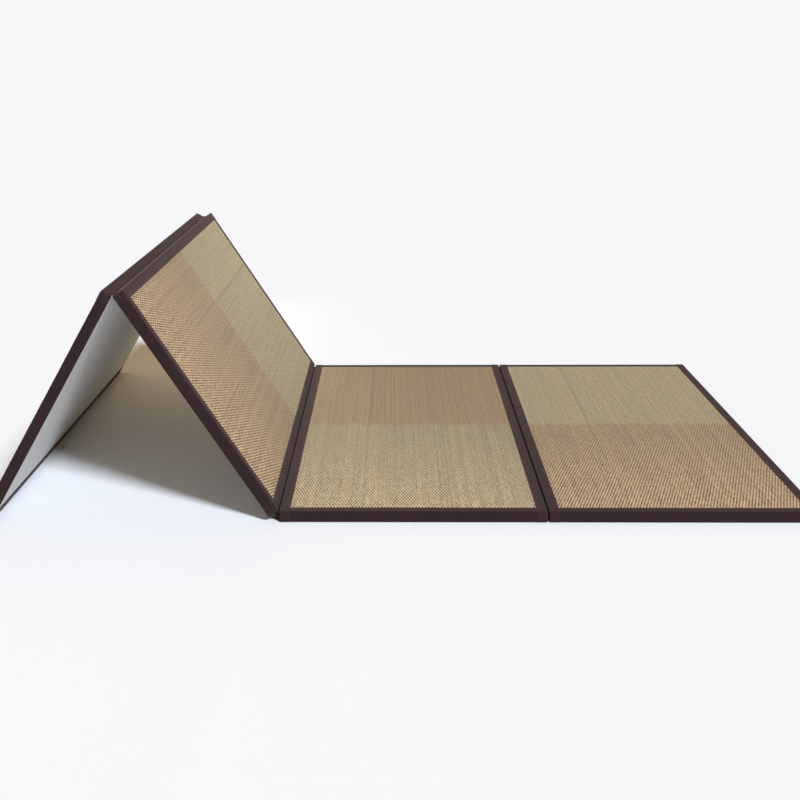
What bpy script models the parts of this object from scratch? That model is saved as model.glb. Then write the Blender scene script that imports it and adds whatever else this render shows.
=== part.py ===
"""Folding tatami mat of four stiff rush-faced panels, set down half unfolded.

Seen from its long near side, panels 1 and 2 on the left lean together as a tent
and panels 3 and 4 on the right lie flat. Metres, +Z up, the mat's length along X,
its width along Y, and the near side at -Y.

Every panel is modelled lying flat in its own frame, with X from its left crease,
Y from its near edge and Z up from its underside, and an empty then sets it in place.
"""
import math

import bmesh
import bpy
from mathutils import Matrix, Vector

# Driving dimensions of the mat
CREASE_PITCH = 0.500
MAT_WIDTH = 1.000
THICKNESS = 0.022
PANEL_2_LEAN = math.radians(57.3)

# Half gaps between a panel's end and the crease beside it, and at a free end
HALF_GAP_RIDGE = 0.0006
HALF_GAP_VALLEY = 0.0004
HALF_GAP_FLAT = 0.0010
HALF_GAP_FREE = 0.0010

# Cloth and clearances
BINDING_WIDTH = 0.020
END_CLOTH = 0.0018
EDGE_CLOTH = 0.0012
EDGE_STEP = 0.0006
BACKING_CLOTH = 0.0010
HINGE_CLOTH = 0.0010
HINGE_LEAF = 0.014
CLEARANCE = 0.0003
OUTER_RADIUS = 0.003
ARC_STEPS = 3

BACKING_SETBACK = 0.0002
FOOT_FLAT_DEPTH = 0.0008

# Between the bindings the rush stands up to this far below their top
FIELD_DROP = 0.0008

# The board lies under both bindings, and the backing lies inside their walls
BOARD_INSET = END_CLOTH + CLEARANCE
BACKING_INSET = BOARD_INSET + BACKING_SETBACK
BACKING_ROOM = BACKING_CLOTH + CLEARANCE

# Cutters reach this far past what they cut
OVERCUT = 0.010
MERGE_DISTANCE = 0.00001

# Panels from left to right, and the half gap at each of their ends
PANELS = ("panel_1", "panel_2", "panel_3", "panel_4")
LEFT_HALF_GAP = {
    "panel_1": HALF_GAP_FREE,
    "panel_2": HALF_GAP_RIDGE,
    "panel_3": HALF_GAP_VALLEY,
    "panel_4": HALF_GAP_FLAT,
}
RIGHT_HALF_GAP = {
    "panel_1": HALF_GAP_RIDGE,
    "panel_2": HALF_GAP_VALLEY,
    "panel_3": HALF_GAP_FLAT,
    "panel_4": HALF_GAP_FREE,
}
# Ends whose underside hinge is the backing, which passes below the binding there
BACKING_PASSES = {
    "panel_1": ("right",),
    "panel_2": ("left",),
    "panel_3": ("right",),
    "panel_4": ("left",),
}

RUSH_COLOR = (0.42, 0.34, 0.19)
BINDING_COLOR = (0.040, 0.026, 0.030)
BACKING_COLOR = (0.80, 0.80, 0.78)


def clear_scene():
    """Remove every object that the file already holds."""
    for obj in list(bpy.data.objects):
        bpy.data.objects.remove(obj, do_unlink=True)


def new_collection(name):
    collection = bpy.data.collections.new(name)
    bpy.context.scene.collection.children.link(collection)
    return collection


def new_material(name, color, roughness):
    """Plain Principled material for one kind of cloth or weave."""
    material = bpy.data.materials.new(name)
    material.use_nodes = True
    shader = material.node_tree.nodes["Principled BSDF"]
    shader.inputs["Base Color"].default_value = (*color, 1.0)
    shader.inputs["Roughness"].default_value = roughness
    shader.inputs["Metallic"].default_value = 0.0
    return material


def add_object(name, bm, collection, material=None, parent=None):
    """Turn a bmesh into one named object in the given collection."""
    mesh = bpy.data.meshes.new(name)
    bm.to_mesh(mesh)
    bm.free()
    obj = bpy.data.objects.new(name, mesh)
    collection.objects.link(obj)
    if material is not None:
        mesh.materials.append(material)
    if parent is not None:
        obj.parent = parent
    return obj


def box_bmesh(low, high):
    """Closed box between two corners."""
    bm = bmesh.new()
    bmesh.ops.create_cube(bm, size=1.0)
    size = Vector(high) - Vector(low)
    middle = (Vector(high) + Vector(low)) / 2
    for vert in bm.verts:
        vert.co = Vector(c * s for c, s in zip(vert.co, size)) + middle
    return bm


def round_top_and_corners(bm, radius, bottom):
    """Round the top edges and the upright edges, and leave the bottom edges sharp."""
    edges = [e for e in bm.edges if max(v.co.z for v in e.verts) > bottom + MERGE_DISTANCE]
    bmesh.ops.bevel(
        bm,
        geom=edges,
        offset=radius,
        offset_type="OFFSET",
        segments=ARC_STEPS,
        profile=0.5,
        affect="EDGES",
        clamp_overlap=False,
    )


def keep_side(bm, point, outward):
    """Cut away everything on the outward side of a plane."""
    bmesh.ops.bisect_plane(
        bm,
        geom=bm.verts[:] + bm.edges[:] + bm.faces[:],
        dist=MERGE_DISTANCE,
        plane_co=point,
        plane_no=outward,
        clear_outer=True,
    )


def open_bottom(bm, bottom):
    """Take the bottom face off, so that what is left is an open shell."""
    bottom_faces = [f for f in bm.faces if all(v.co.z < bottom + MERGE_DISTANCE for v in f.verts)]
    bmesh.ops.delete(bm, geom=bottom_faces, context="FACES")


def add_solidify(obj, thickness):
    """Give a sheet its cloth's thickness, on the inner side of its faces."""
    solidify = obj.modifiers.new("cloth", "SOLIDIFY")
    solidify.thickness = thickness
    solidify.offset = -1.0
    solidify.use_even_offset = True
    solidify.use_rim = True


def add_cut(obj, cutter):
    """Cut one object by another with an exact Boolean."""
    cut = obj.modifiers.new("cut", "BOOLEAN")
    cut.operation = "DIFFERENCE"
    cut.solver = "EXACT"
    cut.object = cutter


def add_cutter(name, low, high, collection, parent=None):
    cutter = add_object(name, box_bmesh(low, high), collection, parent=parent)
    cutter.hide_render = True
    cutter.display_type = "WIRE"
    return cutter


def sheet_along_y(name, profile, near, far, thickness, collection, material):
    """Sheet along Y that follows an (x, z) profile and lies on its left, seen from the near side."""
    bm = bmesh.new()
    near_row = [bm.verts.new((x, near, z)) for x, z in profile]
    near_edges = [bm.edges.new(pair) for pair in zip(near_row, near_row[1:])]
    swept = bmesh.ops.extrude_edge_only(bm, edges=near_edges)
    moved = [item for item in swept["geom"] if isinstance(item, bmesh.types.BMVert)]
    bmesh.ops.translate(bm, verts=moved, vec=(0.0, far - near, 0.0))
    obj = add_object(name, bm, collection, material)
    add_solidify(obj, thickness)
    return obj


def panel_origins():
    """Place and tilt of every panel: the lower left corner of its frame and its turn about Y."""
    ridge_x = -(CREASE_PITCH * math.cos(PANEL_2_LEAN) + THICKNESS * math.sin(PANEL_2_LEAN))
    ridge_z = THICKNESS + CREASE_PITCH * math.sin(PANEL_2_LEAN) - THICKNESS * math.cos(PANEL_2_LEAN)
    panel_1_lean = math.asin((ridge_z + FOOT_FLAT_DEPTH) / (CREASE_PITCH - HALF_GAP_FREE))
    foot_x = ridge_x - CREASE_PITCH * math.cos(panel_1_lean)
    foot_z = ridge_z - CREASE_PITCH * math.sin(panel_1_lean)
    return {
        "panel_1": ((foot_x, foot_z), -panel_1_lean),
        "panel_2": ((ridge_x, ridge_z), PANEL_2_LEAN),
        "panel_3": ((0.0, 0.0), 0.0),
        "panel_4": ((CREASE_PITCH, 0.0), 0.0),
    }


def frame_point(place, x, z):
    """World (x, z) of a point given in a panel's own frame."""
    (origin_x, origin_z), turn = place
    return (
        origin_x + x * math.cos(turn) + z * math.sin(turn),
        origin_z - x * math.sin(turn) + z * math.cos(turn),
    )


def place_empty(name, place, collection):
    """Empty that carries one panel's pieces."""
    (origin_x, origin_z), turn = place
    empty = bpy.data.objects.new(name, None)
    collection.objects.link(empty)
    empty.location = (origin_x, 0.0, origin_z)
    empty.rotation_euler = (0.0, turn, 0.0)
    return empty


def raise_field(bm, top, margin, height):
    """Lift the top face inside its margin, as the rush stands up between the bindings."""
    field = [f for f in bm.faces if all(v.co.z > top - MERGE_DISTANCE for v in f.verts)]
    bmesh.ops.inset_region(bm, faces=field, thickness=margin, use_even_offset=True)
    raised = bmesh.ops.extrude_face_region(bm, geom=field)
    bmesh.ops.delete(bm, geom=field, context="FACES_ONLY")
    moved = [item for item in raised["geom"] if isinstance(item, bmesh.types.BMVert)]
    bmesh.ops.translate(bm, verts=moved, vec=(0.0, 0.0, height))


def make_board(panel, left, right, parent, collection, material):
    """Stiff board wrapped in woven rush: one filled solid, thinner under the bindings."""
    top = THICKNESS - BOARD_INSET
    bm = box_bmesh(
        (left + BOARD_INSET, BOARD_INSET, BACKING_ROOM),
        (right - BOARD_INSET, MAT_WIDTH - BOARD_INSET, top),
    )
    round_top_and_corners(bm, OUTER_RADIUS - BOARD_INSET, BACKING_ROOM)
    margin = BINDING_WIDTH + CLEARANCE - OUTER_RADIUS
    raise_field(bm, top, margin, THICKNESS - FIELD_DROP - top)
    return add_object(f"{panel}_rush_board", bm, collection, material, parent)


def make_end_binding(panel, side, left, right, parent, collections, material):
    """Binding across the mat, lapped down over the near and far faces at its two corners."""
    build, cutters = collections
    bm = box_bmesh((left, 0.0, 0.0), (right, MAT_WIDTH, THICKNESS))
    round_top_and_corners(bm, OUTER_RADIUS, 0.0)
    open_bottom(bm, 0.0)
    if side == "left":
        keep_side(bm, (left + BINDING_WIDTH, 0.0, 0.0), (1.0, 0.0, 0.0))
        wall = (left, left + END_CLOTH)
    else:
        keep_side(bm, (right - BINDING_WIDTH, 0.0, 0.0), (-1.0, 0.0, 0.0))
        wall = (right - END_CLOTH, right)
    binding = add_object(f"{panel}_{side}_binding", bm, build, material, parent)
    add_solidify(binding, END_CLOTH)
    if side in BACKING_PASSES[panel]:
        cutter = add_cutter(
            f"cut_{panel}_{side}",
            (wall[0] - OVERCUT, BACKING_INSET - CLEARANCE, -OVERCUT),
            (wall[1] + OVERCUT, MAT_WIDTH - BACKING_INSET + CLEARANCE, BACKING_ROOM),
            cutters,
            parent,
        )
        add_cut(binding, cutter)
    return binding


def make_edge_binding(panel, side, left, right, parent, collection, material):
    """Binding along the mat's near or far edge, between the two end bindings."""
    bm = box_bmesh((left, EDGE_STEP, 0.0), (right, MAT_WIDTH - EDGE_STEP, THICKNESS - EDGE_STEP))
    round_top_and_corners(bm, OUTER_RADIUS - EDGE_STEP, 0.0)
    open_bottom(bm, 0.0)
    reach = BINDING_WIDTH + CLEARANCE
    keep_side(bm, (left + reach, 0.0, 0.0), (-1.0, 0.0, 0.0))
    keep_side(bm, (right - reach, 0.0, 0.0), (1.0, 0.0, 0.0))
    if side == "near":
        keep_side(bm, (0.0, BINDING_WIDTH, 0.0), (0.0, 1.0, 0.0))
    else:
        keep_side(bm, (0.0, MAT_WIDTH - BINDING_WIDTH, 0.0), (0.0, -1.0, 0.0))
    binding = add_object(f"{panel}_{side}_binding", bm, collection, material, parent)
    add_solidify(binding, EDGE_CLOTH)
    return binding


def make_panel(panel, place, collections, materials):
    """Board and four bindings of one panel. Returns its empty and its end bindings."""
    build, _ = collections
    left = LEFT_HALF_GAP[panel]
    right = CREASE_PITCH - RIGHT_HALF_GAP[panel]
    empty = place_empty(panel, place, build)
    make_board(panel, left, right, empty, build, materials["rush"])
    ends = {}
    for side in ("left", "right"):
        ends[side] = make_end_binding(panel, side, left, right, empty, collections, materials["binding"])
    for side in ("near", "far"):
        make_edge_binding(panel, side, left, right, empty, build, materials["binding"])
    return empty, ends


def make_backings(places, collection, material):
    """Backing cloths: one folded under panels 1 and 2, one flat under panels 3 and 4."""
    near = BACKING_INSET
    far = MAT_WIDTH - BACKING_INSET
    foot_1 = frame_point(places["panel_1"], HALF_GAP_FREE + BACKING_INSET, 0.0)
    ridge = frame_point(places["panel_2"], 0.0, 0.0)
    foot_2 = frame_point(places["panel_2"], CREASE_PITCH - HALF_GAP_VALLEY - BACKING_INSET, 0.0)
    flat_left = (HALF_GAP_VALLEY + BACKING_INSET, 0.0)
    flat_right = (2 * CREASE_PITCH - HALF_GAP_FREE - BACKING_INSET, 0.0)
    tent = sheet_along_y(
        "backing_12", (foot_1, ridge, foot_2), near, far, BACKING_CLOTH, collection, material)
    flat = sheet_along_y(
        "backing_34", (flat_left, flat_right), near, far, BACKING_CLOTH, collection, material)
    return [tent, flat]


def make_valley_hinge(places, collection, material):
    """Cloth hinge of the valley crease: two leaves on the facing ends, joined at the top."""
    gap = HALF_GAP_VALLEY - CLEARANCE
    leaf_2 = frame_point(places["panel_2"], CREASE_PITCH - gap, THICKNESS - HINGE_LEAF)
    leaf_3 = (gap, THICKNESS - HINGE_LEAF)
    # The two outer faces of the leaves meet a little above the crease line
    turn = places["panel_2"][1]
    top = THICKNESS + gap * (1 + math.cos(turn)) / math.sin(turn)
    return sheet_along_y(
        "hinge_23",
        (leaf_3, (gap, top), leaf_2),
        BACKING_INSET,
        MAT_WIDTH - BACKING_INSET,
        HINGE_CLOTH,
        collection,
        material,
    )


def outline_x(objects):
    """Least and greatest world X of the finished pieces."""
    depsgraph = bpy.context.evaluated_depsgraph_get()
    xs = []
    for obj in objects:
        finished = obj.evaluated_get(depsgraph)
        mesh = finished.to_mesh()
        xs.extend((finished.matrix_world @ vert.co).x for vert in mesh.vertices)
        finished.to_mesh_clear()
    return min(xs), max(xs)


def main():
    clear_scene()
    build = new_collection("tatami_mat")
    cutters = new_collection("cutters")
    collections = (build, cutters)
    materials = {
        "rush": new_material("woven_rush", RUSH_COLOR, 0.65),
        "binding": new_material("binding_cloth", BINDING_COLOR, 0.80),
        "backing": new_material("backing_cloth", BACKING_COLOR, 0.85),
    }
    places = panel_origins()
    empties = {}
    ends = {}
    for panel in PANELS:
        empties[panel], ends[panel] = make_panel(panel, places[panel], collections, materials)
    loose = make_backings(places, build, materials["backing"])
    loose.append(make_valley_hinge(places, build, materials["binding"]))

    # The standing end of panel 1 is pressed flat where it meets the floor
    floor_cutter = add_cutter(
        "cut_floor",
        (-2 * CREASE_PITCH, -OVERCUT, -OVERCUT),
        (0.0, MAT_WIDTH + OVERCUT, 0.0),
        cutters,
    )
    add_cut(ends["panel_1"]["left"], floor_cutter)

    # The origin is the middle of the whole outline, on the floor
    bpy.context.view_layer.update()
    low_x, high_x = outline_x([ends["panel_1"]["left"], ends["panel_4"]["right"]])
    shift = Matrix.Translation((-(low_x + high_x) / 2, -MAT_WIDTH / 2, 0.0))
    for obj in [*empties.values(), *loose, floor_cutter]:
        obj.matrix_world = shift @ obj.matrix_world


main()
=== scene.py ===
"""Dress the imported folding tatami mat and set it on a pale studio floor.

Every panel is worked on as it lies flat in its own frame, with X from its left crease,
Y from its near edge and Z up from its underside, and is then set in place, as in the
part's own source. Metres throughout, and the object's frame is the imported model's.
"""
import math

import bmesh
import bpy
import numpy as np
from bpy.props import FloatProperty, FloatVectorProperty, PointerProperty
from mathutils import Matrix, Vector, noise


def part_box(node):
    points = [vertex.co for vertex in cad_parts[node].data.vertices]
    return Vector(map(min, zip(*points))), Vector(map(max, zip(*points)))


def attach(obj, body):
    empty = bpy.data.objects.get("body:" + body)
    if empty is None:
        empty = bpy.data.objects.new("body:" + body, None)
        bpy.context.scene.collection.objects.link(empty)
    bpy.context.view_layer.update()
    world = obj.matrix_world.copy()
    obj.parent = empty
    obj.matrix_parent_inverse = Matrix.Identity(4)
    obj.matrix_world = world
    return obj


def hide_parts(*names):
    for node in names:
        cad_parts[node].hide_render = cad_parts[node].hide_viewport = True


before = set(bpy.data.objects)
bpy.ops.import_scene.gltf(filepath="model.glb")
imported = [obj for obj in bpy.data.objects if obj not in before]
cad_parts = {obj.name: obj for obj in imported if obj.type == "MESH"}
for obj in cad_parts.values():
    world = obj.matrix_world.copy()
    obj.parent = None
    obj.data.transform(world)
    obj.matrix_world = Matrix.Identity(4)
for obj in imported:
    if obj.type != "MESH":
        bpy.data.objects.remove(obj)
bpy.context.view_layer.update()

bl_info = {
    "name": "Folding tatami mat",
    "version": (1, 0, 0),
    "blender": (4, 5, 0),
    "location": "View3D > Sidebar > Tatami",
    "description": "Weaves, binds and backs a four-panel folding tatami mat",
    "category": "Object",
}

# Driving dimensions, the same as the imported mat's
CREASE_PITCH = 0.500
MAT_WIDTH = 1.000
THICKNESS = 0.022
PANEL_2_LEAN = math.radians(57.3)
# Half gaps between a panel's end and the crease beside it, and at a free end
HALF_GAP_RIDGE = 0.0006
HALF_GAP_VALLEY = 0.0004
HALF_GAP_FLAT = 0.0010
HALF_GAP_FREE = 0.0010
# How much of the standing foot is pressed flat on the floor
FOOT_FLAT_DEPTH = 0.0008
BINDING_WIDTH = 0.020
END_CLOTH = 0.0018
EDGE_CLOTH = 0.0012
# How far an edge binding lies inside the faces of the end bindings
EDGE_STEP = 0.0006
BACKING_CLOTH = 0.0010
CLEARANCE = 0.0003
OUTER_RADIUS = 0.003
# How far the rush lies below the tops of the bindings
FIELD_DROP = 0.0008
# Hinge cloth: length of a leaf, and roundness and depth of the fold between the two
HINGE_CLOTH = 0.0010
HINGE_LEAF = 0.014
HINGE_ROUND = 0.0012
HINGE_SINK = 0.0065
# The board lies under both bindings, and the backing lies inside their walls
BOARD_INSET = END_CLOTH + CLEARANCE
BACKING_SETBACK = 0.0002
BACKING_INSET = BOARD_INSET + BACKING_SETBACK
BACKING_ROOM = BACKING_CLOTH + CLEARANCE

PANELS = ("panel_1", "panel_2", "panel_3", "panel_4")
# Half gap at each panel's left and right end
HALF_GAPS = {
    "panel_1": (HALF_GAP_FREE, HALF_GAP_RIDGE),
    "panel_2": (HALF_GAP_RIDGE, HALF_GAP_VALLEY),
    "panel_3": (HALF_GAP_VALLEY, HALF_GAP_FLAT),
    "panel_4": (HALF_GAP_FLAT, HALF_GAP_FREE),
}
STANDING_END = ("panel_1", "left")
RIDGE_ENDS = (("panel_1", "right"), ("panel_2", "left"))
# Ends whose underside hinge is the backing, which passes below the binding there
BACKING_ENDS = (*RIDGE_ENDS, ("panel_3", "right"), ("panel_4", "left"))
# Ends that lie against the next panel, and how far round the fold the crease hides them; the
# hidden cloth carries painted shade
CLOSED_ENDS = (
    ("panel_2", "right"),
    ("panel_3", "left"),
    ("panel_3", "right"),
    ("panel_4", "left"),
)
TUCK_START = 0.0180
TUCK_END = 0.0200
# The two rush tones swap places from one panel to the next
TAN_NEAR = ("panel_2", "panel_4")
# Panels whose weave crests lean to the right going away from the near edge
CRESTS_LEAN_RIGHT = ("panel_2", "panel_4")
# Depth of each panel's weave at its near edge, and the share of the width where it settles
WEAVE_DEPTH = {
    "panel_1": (1.0, 0.45),
    "panel_2": (1.0, 0.28),
    "panel_3": (0.82, 0.5),
    "panel_4": (1.0, 0.55),
}
SETTLED_DEPTH = 0.25
# Painted light and shade: tone of each panel's rush at its near and at its far edge, set by how
# the light falls on that panel
PAINTED_RUSH_LIGHT = {
    "panel_1": (1.0, 0.98),
    "panel_2": (0.95, 0.90),
    "panel_3": (0.99, 0.89),
    "panel_4": (1.0, 1.02),
}

# Cloth turned under at three ends: a hem on the standing foot, and lips over the ridge's fold
HEM_WIDTH = 0.026
HEM_CLOTH = 0.0005
LIP_OVERHANG = 0.0025
LIP_ROOT = 0.0015
# Where a binding curves under at the floor
LOWER_ROUND = 0.0015
LOWER_TUCK = 0.0006
# Between an end binding and an edge binding
SEAM_GAP = 0.0001

# Where the cloth is cut into rows of faces: shares of the binding's width, and heights
END_CUTS = (0.2, 0.45, 0.7, 0.9)
EDGE_CUTS = (0.25, 0.5, 0.75, 0.9)
SIDE_CUTS = (0.006, 0.012)
FOOT_CUTS = (0.15, 0.4, 1.0)
# How a binding's sewn edge wavers, slowly and quickly: metres a swing, and its share
SLOW_WAVER = (0.09, 0.6)
QUICK_WAVER = (0.03, 0.25)
# Lift of the cloth between fold and sewn edge, and metres a swing along and across it
CROWN_LIFT = 0.00012
CROWN_ALONG = 0.05
CROWN_ACROSS = 0.012
# Past this share of the binding's width the cloth is held down by its stitches
SEWN_SHARE = 0.99
SMOOTH_CLOTH = math.radians(35)
SMOOTH_RUSH = math.radians(75)
# How strongly the hem's cloth is marked for painted shade and the laps at the corners for a
# painted highlight, in the tucked value
HEM_TUCKED = 0.6
LAP_TUCKED = -1.0

# Share of the crown height by which the middle of the weave lies below its drop
FIELD_SINK = 0.4
# How unevenly crowns rise, and how far and how slowly the weave's threads wander
UNEVEN_RISE = 0.22
RISE_LIMITS = (0.5, 1.5)
STEM_SWAY = 0.0004
STEM_SWAY_ROWS = 60.0
WARP_SWAY = 0.0012
WARP_SWAY_COLUMNS = 50.0
# Cells after which one stem gives way to the next
STEM_CELLS = 57.0
# Across and along the stems, how fast each kind of streak changes from cell to cell
STREAK_SCALE = (0.16, 0.012)
BUNDLE_SCALE = (0.8, 0.03)
FIBRE_SCALE = (9.0, 0.6)
MEETING_SCALE = (0.2, 0.1)

# Backing and hinge cloth: the backing's fold under the ridge, points, rows and ripple
RIDGE_ROUND = 0.0008
BACKING_STEP = 0.02
BACKING_RIPPLE = 0.0001
RIPPLE_RUN = 0.06
HINGE_STEP = 0.003
HINGE_ROW_STEP = 0.0125

# Where the main lamp stands, seen from the mat, and how wide it looks from there
KEY_DIRECTION = (0.601, -0.754, 0.916)
KEY_ANGLE = math.radians(11)
# The fill comes from above and behind most of all, and faintly from the front
FILL_DIRECTION = (0.0, 0.8, 0.6)
FILL_SPAN = (-0.4, 0.8)
FILL_SHARES = (0.1, 1.5)
# The rear lamp stands behind the tent and shines into it, low down
REAR_AWAY = 1.7
REAR_HEIGHT = 0.35
REAR_SIZE = 0.5
REAR_SPREAD = math.radians(34)

# Camera, fitted to the photo's edges together with the mat's proportions
CAMERA_PLACE = (-0.0059, -2.4330, 0.8489)
CAMERA_PITCH = math.radians(11.941)
CAMERA_YAW = math.radians(1.2)
CAMERA_ROLL = math.radians(-0.405)
CAMERA_SHIFT = (0.0361, -0.1369)
FLOOR_REACH = 40.0

# First seed of each kind of piece
END_SEED = 10
EDGE_SEED = 30
BACKING_SEED = 50
HINGE_SEED = 60

X, Y, Z = 0, 1, 2
MERGE_DISTANCE = 0.00001
NUMBER, VECTOR = "NodeSocketFloat", "NodeSocketVector"
WEAVE_ATTRIBUTE = "weave_cell"
CLOTH_ATTRIBUTE = "cloth_run"


# Sizes and colours that a user would change

COLOUR = {"size": 3, "min": 0.0, "max": 1.0, "subtype": "COLOR"}


class TatamiSizes(bpy.types.PropertyGroup):
    """Sizes of the weave, the cloth and their unevenness"""

    stem_pair: FloatProperty(
        name="Stem pair", default=0.00295, unit="LENGTH",
        description="Width of the two rush stems that rise and dive together")
    float_length: FloatProperty(
        name="Float length", default=0.0085, unit="LENGTH",
        description="Length along the stems between two warp threads")
    crown_height: FloatProperty(
        name="Crown height", default=0.00045, unit="LENGTH",
        description="Half the height from a dip of the weave to the crown beside it")
    crest_share: FloatProperty(
        name="Crest share", default=0.66, min=0.5, max=1.0,
        description="How far the crowns join along one slant rather than the other")
    cloth_step: FloatProperty(
        name="Cloth step", default=0.0125, unit="LENGTH",
        description="Spacing of the points along a binding strip")
    edge_waver: FloatProperty(
        name="Edge waver", default=0.0007, unit="LENGTH",
        description="How far a binding's sewn edge draws back from its straight line")
    thread_pitch: FloatProperty(
        name="Thread pitch", default=0.0007, unit="LENGTH",
        description="Spacing of the threads of the binding cloth")
    stitch_length: FloatProperty(
        name="Stitch length", default=0.0045, unit="LENGTH",
        description="Length of one stitch along the binding's inner edge")


class TatamiColours(bpy.types.PropertyGroup):
    """Colours of the rush and the cloths"""

    rush_tan: FloatVectorProperty(
        name="Rush, tan", default=(0.270, 0.207, 0.136), **COLOUR,
        description="Sun-dried rush")
    rush_green: FloatVectorProperty(
        name="Rush, green", default=(0.286, 0.256, 0.166), **COLOUR,
        description="Rush dried in the shade, which keeps some green")
    binding: FloatVectorProperty(
        name="Binding", default=(0.0226, 0.0103, 0.0108), **COLOUR,
        description="Dark brown binding cloth")
    backing: FloatVectorProperty(
        name="Backing", default=(0.60, 0.59, 0.575), **COLOUR,
        description="Off-white felted backing cloth")


class TatamiStage(bpy.types.PropertyGroup):
    """Floor, light and camera"""

    floor: FloatVectorProperty(
        name="Floor", default=(0.70, 0.70, 0.70), **COLOUR,
        description="Colour of the pale floor")
    backdrop: FloatVectorProperty(
        name="Backdrop", default=(0.93, 0.925, 0.945), **COLOUR,
        description="Colour seen behind the floor's far end")
    fill: FloatVectorProperty(
        name="Fill", default=(1.0, 0.76, 0.48), **COLOUR,
        description="Colour of the soft light from above and behind")
    fill_strength: FloatProperty(
        name="Fill strength", default=0.40, min=0.0,
        description="Strength of the soft light from above and behind")
    key: FloatVectorProperty(
        name="Key", default=(0.80, 0.875, 1.0), **COLOUR,
        description="Colour of the main lamp at the front on the right")
    key_strength: FloatProperty(
        name="Key strength", default=5.27, min=0.0,
        description="Strength of the main lamp at the front on the right")
    rear: FloatVectorProperty(
        name="Rear", default=(1.0, 0.80, 0.52), **COLOUR,
        description="Colour of the soft lamp behind the tent")
    rear_power: FloatProperty(
        name="Rear power", default=0.65, min=0.0,
        description="Power of the soft lamp behind the tent, in watts")
    lens: FloatProperty(
        name="Lens", default=50.12, subtype="DISTANCE_CAMERA",
        description="Focal length on a 36 mm sensor")


def sizes():
    return bpy.context.scene.tatami_sizes


def colours():
    return bpy.context.scene.tatami_colours


def stage_settings():
    return bpy.context.scene.tatami_stage


# Where the panels lie

def panel_places():
    """Lower left corner (x, z) of every panel's frame in the world, and its turn about Y."""
    right_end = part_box("panel_4_right_binding")[1].x
    valley_x = right_end - (2 * CREASE_PITCH - HALF_GAP_FREE)
    sine, cosine = math.sin(PANEL_2_LEAN), math.cos(PANEL_2_LEAN)
    ridge_x = valley_x - (CREASE_PITCH * cosine + THICKNESS * sine)
    ridge_z = THICKNESS + CREASE_PITCH * sine - THICKNESS * cosine
    panel_1_lean = math.asin((ridge_z + FOOT_FLAT_DEPTH) / (CREASE_PITCH - HALF_GAP_FREE))
    foot_x = ridge_x - CREASE_PITCH * math.cos(panel_1_lean)
    foot_z = ridge_z - CREASE_PITCH * math.sin(panel_1_lean)
    return {
        "panel_1": ((foot_x, foot_z), -panel_1_lean),
        "panel_2": ((ridge_x, ridge_z), PANEL_2_LEAN),
        "panel_3": ((valley_x, 0.0), 0.0),
        "panel_4": ((valley_x + CREASE_PITCH, 0.0), 0.0),
    }


def place_matrix(place):
    """World matrix of a panel's frame."""
    (x, z), turn = place
    return Matrix.Translation((x, -MAT_WIDTH / 2, z)) @ Matrix.Rotation(turn, 4, "Y")


def frame_point(place, x, z):
    """World (x, z) of a point given in a panel's own frame."""
    point = place_matrix(place) @ Vector((x, 0.0, z))
    return point.x, point.z


def panel_ends(panel):
    """Left and right end of a panel in its own frame."""
    left_gap, right_gap = HALF_GAPS[panel]
    return left_gap, CREASE_PITCH - right_gap


# Building pieces

def put_in_scene(name, data):
    """New object that shows the given data."""
    thing = bpy.data.objects.new(name, data)
    bpy.context.scene.collection.objects.link(thing)
    return thing


def add_piece(name, mesh, material, matrix=None):
    """Put a mesh in the scene as one named piece that rides with the mat."""
    if matrix is not None:
        mesh.transform(matrix)
    piece = put_in_scene(name, mesh)
    mesh.materials.append(material)
    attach(piece, "root")
    return piece


def mesh_from_bmesh(name, bm):
    mesh = bpy.data.meshes.new(name)
    bm.to_mesh(mesh)
    bm.free()
    return mesh


def smooth_below(mesh, angle):
    """Shade smooth, with edges sharper than the angle left crisp."""
    mesh.shade_smooth()
    mesh.set_sharp_from_angle(angle=angle)


def finished_mesh(name, bm, thickness):
    """Mesh of an open sheet after it is given its thickness on its inner side."""
    mesh = mesh_from_bmesh(name, bm)
    holder = put_in_scene(name + "_open", mesh)
    solidify = holder.modifiers.new("cloth", "SOLIDIFY")
    solidify.thickness = thickness
    solidify.offset = -1.0
    solidify.use_even_offset = True
    solidify.use_rim = True
    depsgraph = bpy.context.evaluated_depsgraph_get()
    thick = bpy.data.meshes.new_from_object(holder.evaluated_get(depsgraph))
    thick.name = name
    bpy.data.objects.remove(holder)
    bpy.data.meshes.remove(mesh)
    return thick


def box_bmesh(low, high):
    """Closed box between two corners."""
    bm = bmesh.new()
    bmesh.ops.create_cube(bm, size=1.0)
    size = Vector(high) - Vector(low)
    middle = (Vector(high) + Vector(low)) / 2
    for vert in bm.verts:
        vert.co = Vector(c * s for c, s in zip(vert.co, size)) + middle
    return bm


def cut_by_plane(bm, point, normal, drop_outer):
    """Cut the mesh by a plane, and drop what lies beyond it if asked."""
    bmesh.ops.bisect_plane(
        bm,
        geom=bm.verts[:] + bm.edges[:] + bm.faces[:],
        dist=MERGE_DISTANCE,
        plane_co=point,
        plane_no=normal,
        clear_outer=drop_outer,
    )


def cut_across(bm, axis, place, drop=0.0):
    """Cut the mesh across an axis, and drop what lies past the cut on the side 1 or -1."""
    unit = Vector((0.0, 0.0, 0.0))
    unit[axis] = 1.0
    cut_by_plane(bm, unit * place, unit * (drop or 1.0), drop != 0.0)


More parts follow.
